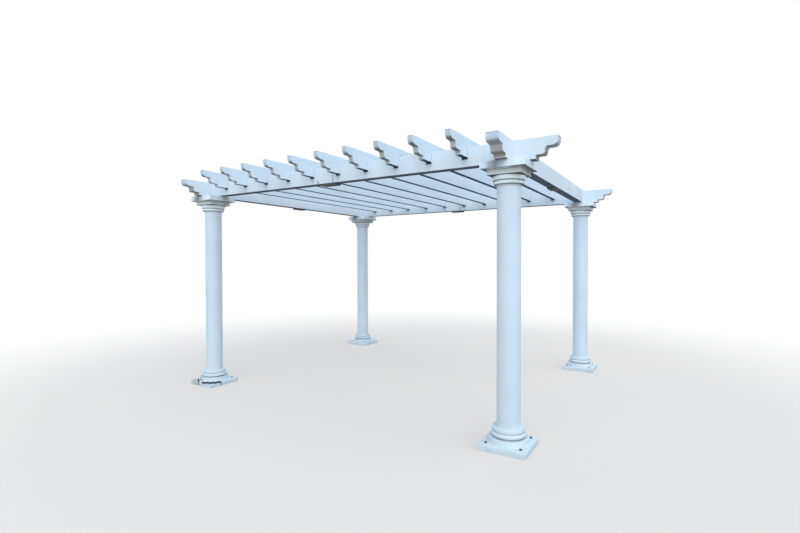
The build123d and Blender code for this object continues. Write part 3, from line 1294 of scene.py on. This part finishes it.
@dataclass
class Metalwork:
    """The splice plates under the beams, and every screw that shows.

    Attributes:
        long_plate_shift: How far a plate under a long beam is set over. An end plate has its own.
        screw_along: How far the outer screws are from a plate's middle, as a share of its length.
        screw_across: The same across the plate, as a share of its width.
        rafter_screw_rise: Height of a rafter's screws above its underside.
        rafter_screw_inside: How far they are inside the middle of a long beam.
        anchor_inset: How far an anchor is from the plinth's sides.
    """

    screw: DomedHead = DomedHead(0.0055, 0.0026)
    anchor: DomedHead = DomedHead(0.013, 0.0090)
    plate_edge: float = 0.0025
    plate_corner: float = 0.010
    plate_length: float = 0.193
    long_plate_shift: float = 0.0145
    end_plate_shift: float = -0.055
    screw_along: float = 0.40
    screw_across: float = 0.28
    rafter_screw_rise: float = 0.112
    rafter_screw_inside: float = 0.082
    anchor_inset: float = 0.052

    def build(self) -> None:
        """Build and dress the plates and the screws."""
        for side in (*SIDES, *ENDS):
            self.build_plate(side)
        self.build_plate_screws()
        self.build_rafter_screws()
        self.build_anchors()

    def plate_box(self, side: str) -> Box:
        """Find where a plate lies, within the room that the frame gives it.

        Args:
            side: The side of the pergola that it is on.

        Returns:
            Its lowest and highest corner.
        """
        low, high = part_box(f"{side}_splice_plate")
        axis, shift = (0, self.long_plate_shift) if side in SIDES else (1, self.end_plate_shift)
        middle = (low[axis] + high[axis]) / 2 + shift
        low[axis], high[axis] = middle - self.plate_length / 2, middle + self.plate_length / 2
        return low, high

    def build_plate(self, side: str) -> None:
        """Build one plate with rounded corners.

        Args:
            side: The side of the pergola that it is on.
        """
        node = f"{side}_splice_plate"
        low, high = self.plate_box(side)
        bm = blocks((low, high))
        upright = [e for e in bm.edges if abs(e.verts[0].co.z - e.verts[1].co.z) > NEAR]
        rounded(bm, upright, self.plate_corner, 5)
        rim = [e for e in bm.edges if all(v.co.z < low.z + NEAR for v in e.verts)]
        rounded(bm, rim, self.plate_edge)
        declare(put_in(bm, f"{node}_bar", Coat.PLATE), Slot.METAL, node)

    def build_plate_screws(self) -> None:
        """Build the six screws under each plate."""
        bm = bmesh.new()
        for side in (*SIDES, *ENDS):
            low, high = self.plate_box(side)
            centre, size = (low + high) / 2, high - low
            for along in (-self.screw_along, 0.0, self.screw_along):
                for across in (-self.screw_across, self.screw_across):
                    x, y = (along, across) if side in SIDES else (across, along)
                    point = Vector((centre.x + x * size.x, centre.y + y * size.y, low.z))
                    self.screw.add(bm, point, Vector((0, 0, -1)))
        declare(put_in(bm, "plate_screws", Coat.SCREW), Slot.METAL)

    def build_rafter_screws(self) -> None:
        """Build the screw inside each long beam on both sides of each rafter."""
        front, back = (foot_of(*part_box(f"{side}_beam_left_length")).y for side in SIDES)
        bm = bmesh.new()
        for low, high in map(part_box, RAFTERS):
            for y in (front + self.rafter_screw_inside, back - self.rafter_screw_inside):
                for x, out in ((low.x, -1), (high.x, 1)):
                    self.screw.add(bm, Vector((x, y, low.z + self.rafter_screw_rise)), Vector((out, 0, 0)))
        declare(put_in(bm, "rafter_screws", Coat.SCREW), Slot.METAL)

    def build_anchors(self) -> None:
        """Build the rusty anchor heads near the unbroken corners of each plinth."""
        bm = bmesh.new()
        for place in COLUMNS:
            low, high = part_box(f"{place}_plinth")
            rows = (low.y + self.anchor_inset, high.y - self.anchor_inset)
            for x in (low.x + self.anchor_inset, high.x - self.anchor_inset):
                for y in rows[1:] if place == BROKEN_PLINTH else rows:
                    self.anchor.add(bm, Vector((x, y, high.z)), Vector((0, 0, 1)))
        declare(put_in(bm, "plinth_anchors", Coat.ANCHOR), Slot.METAL)


# Studio


@dataclass(frozen=True)
class Lamp:
    """A wide soft lamp, so far away that its light doesn't fade across the object.

    Attributes:
        heading: The way to the lamp, in degrees round from +X.
        elevation: How high it hangs, in degrees.
        power: How much it lights a surface that looks at it, in watts a square metre.
        spread: The angle that it fills, in degrees, which softens its shadows.
    """

    name: str
    heading: float
    elevation: float
    power: float
    spread: float
    colour: Colour = (0.82, 0.92, 1.0)

    def hang(self) -> None:
        """Add the lamp to the scene."""
        light = bpy.data.lights.new(self.name, "SUN")
        light.energy = self.power
        light.color = self.colour
        light.angle = math.radians(self.spread)
        lamp = bpy.data.objects.new(self.name, light)
        heading, elevation = math.radians(self.heading), math.radians(self.elevation)
        level = math.cos(elevation)
        towards = Vector((level * math.cos(heading), level * math.sin(heading), math.sin(elevation)))
        lamp.rotation_euler = (-towards).to_track_quat("-Z", "Y").to_euler()
        bpy.context.scene.collection.objects.link(lamp)


@dataclass
class Studio:
    """The pale floor, the soft light, the white background and the camera.

    Attributes:
        focal_length: The lens in millimetres.
        sensor_width: The sensor's width in millimetres.
        viewpoint: Where the camera stands.
        right: The way to the right of its picture.
        up: The way up its picture.
        fade_start: Where the floor starts to fade to white.
        fade_end: Where it is white.
        floor_lift: A faint glow that keeps the floor neutral in the cool light.
        bounce: The light that the floor throws up at the object.
        sky_low: The light from near the horizon.
        sky_top: The light from overhead.
    """

    focal_length: float = 20.465
    sensor_width: float = 36.0
    viewpoint: Point = (3.060, -5.162, 1.5264)
    right: Point = (0.85164, 0.52412, -0.002095)
    up: Point = (-0.006029, 0.013794, 0.999887)
    floor_radius: float = 40.0
    fade_start: float = 3.2
    fade_end: float = 8.0
    floor_colour: Colour = (0.66, 0.52, 0.45)
    floor_lift: Colour = (0.24, 0.24, 0.24)
    bounce: Colour = (0.42, 0.455, 0.50)
    sky_low: Colour = (0.20, 0.255, 0.30)
    sky_top: Colour = (0.32, 0.57, 0.76)
    white: Colour = (1.0, 1.0, 1.0)
    lamps: tuple[Lamp, ...] = (
        Lamp("front", -75.0, 12.0, 2.11, 80.0),
        Lamp("side", -10.0, 36.0, 0.36, 70.0),
        Lamp("high", 5.0, 58.0, 0.95, 60.0),
        Lamp("back", 140.0, 30.0, 0.90, 90.0, (1.0, 0.97, 0.97)),
    )

    def build(self) -> None:
        """Set up everything round the object."""
        self.build_floor()
        self.build_world()
        for lamp in self.lamps:
            lamp.hang()
        self.build_camera()
        bpy.context.scene.view_settings.view_transform = "Standard"

    def build_floor(self) -> None:
        """Lay the floor, which fades to white away from the object and keeps its shadow."""
        material = bpy.data.materials.new("studio_floor")
        graph = Graph(material)
        diffuse = graph.node("ShaderNodeBsdfDiffuse", {"Color": self.floor_colour}).outputs[0]
        near = graph.node("ShaderNodeAddShader", {0: diffuse, 1: graph.glow(self.floor_lift)}).outputs[0]
        far = graph.span(graph.distance(graph.place, (0, 0, 0)), self.fade_start, self.fade_end)
        seen = graph.mixed(far, near, graph.glow(self.white))
        surface = graph.mixed(graph.shown, graph.glow(self.bounce), seen)
        graph.node("ShaderNodeOutputMaterial", {"Surface": surface})
        bm = bmesh.new()
        bmesh.ops.create_circle(bm, cap_ends=True, segments=96, radius=self.floor_radius)
        floor = put_in(bm, "floor")
        floor.data.materials.append(material)

    def build_world(self) -> None:
        """Light the object softly from all round, and show white behind it."""
        world = bpy.data.worlds.new("studio_world")
        bpy.context.scene.world = world
        graph = Graph(world)
        height = graph.split(graph.node("ShaderNodeTexCoord").outputs["Generated"])[2]
        light = graph.blend(graph.span(height, 0.0, 1.0), self.sky_low, self.sky_top)
        sky = graph.node("ShaderNodeBackground", {"Color": light}).outputs[0]
        white = graph.node("ShaderNodeBackground", {"Color": self.white}).outputs[0]
        graph.node("ShaderNodeOutputWorld", {"Surface": graph.mixed(graph.shown, sky, white)})

    def build_camera(self) -> None:
        """Stand the camera where the photograph was taken."""
        data = bpy.data.cameras.new("camera")
        data.sensor_width = self.sensor_width
        data.lens = self.focal_length
        data.clip_end = 5 * self.floor_radius
        camera = bpy.data.objects.new("camera", data)
        right, up = Vector(self.right), Vector(self.up)
        axes = Matrix((right, up, right.cross(up))).transposed()
        camera.matrix_world = Matrix.Translation(self.viewpoint) @ axes.to_4x4()
        bpy.context.scene.collection.objects.link(camera)
        bpy.context.scene.camera = camera


# The whole


def main() -> None:
    """Build the pergola and its studio."""
    logging.basicConfig(level=logging.INFO, format="%(name)s: %(message)s")
    for place in COLUMNS:
        Column(place).build()
    BeamFrame().build()
    Rafters().build()
    Metalwork().build()
    Studio().build()


if __name__ == "__main__":
    main()
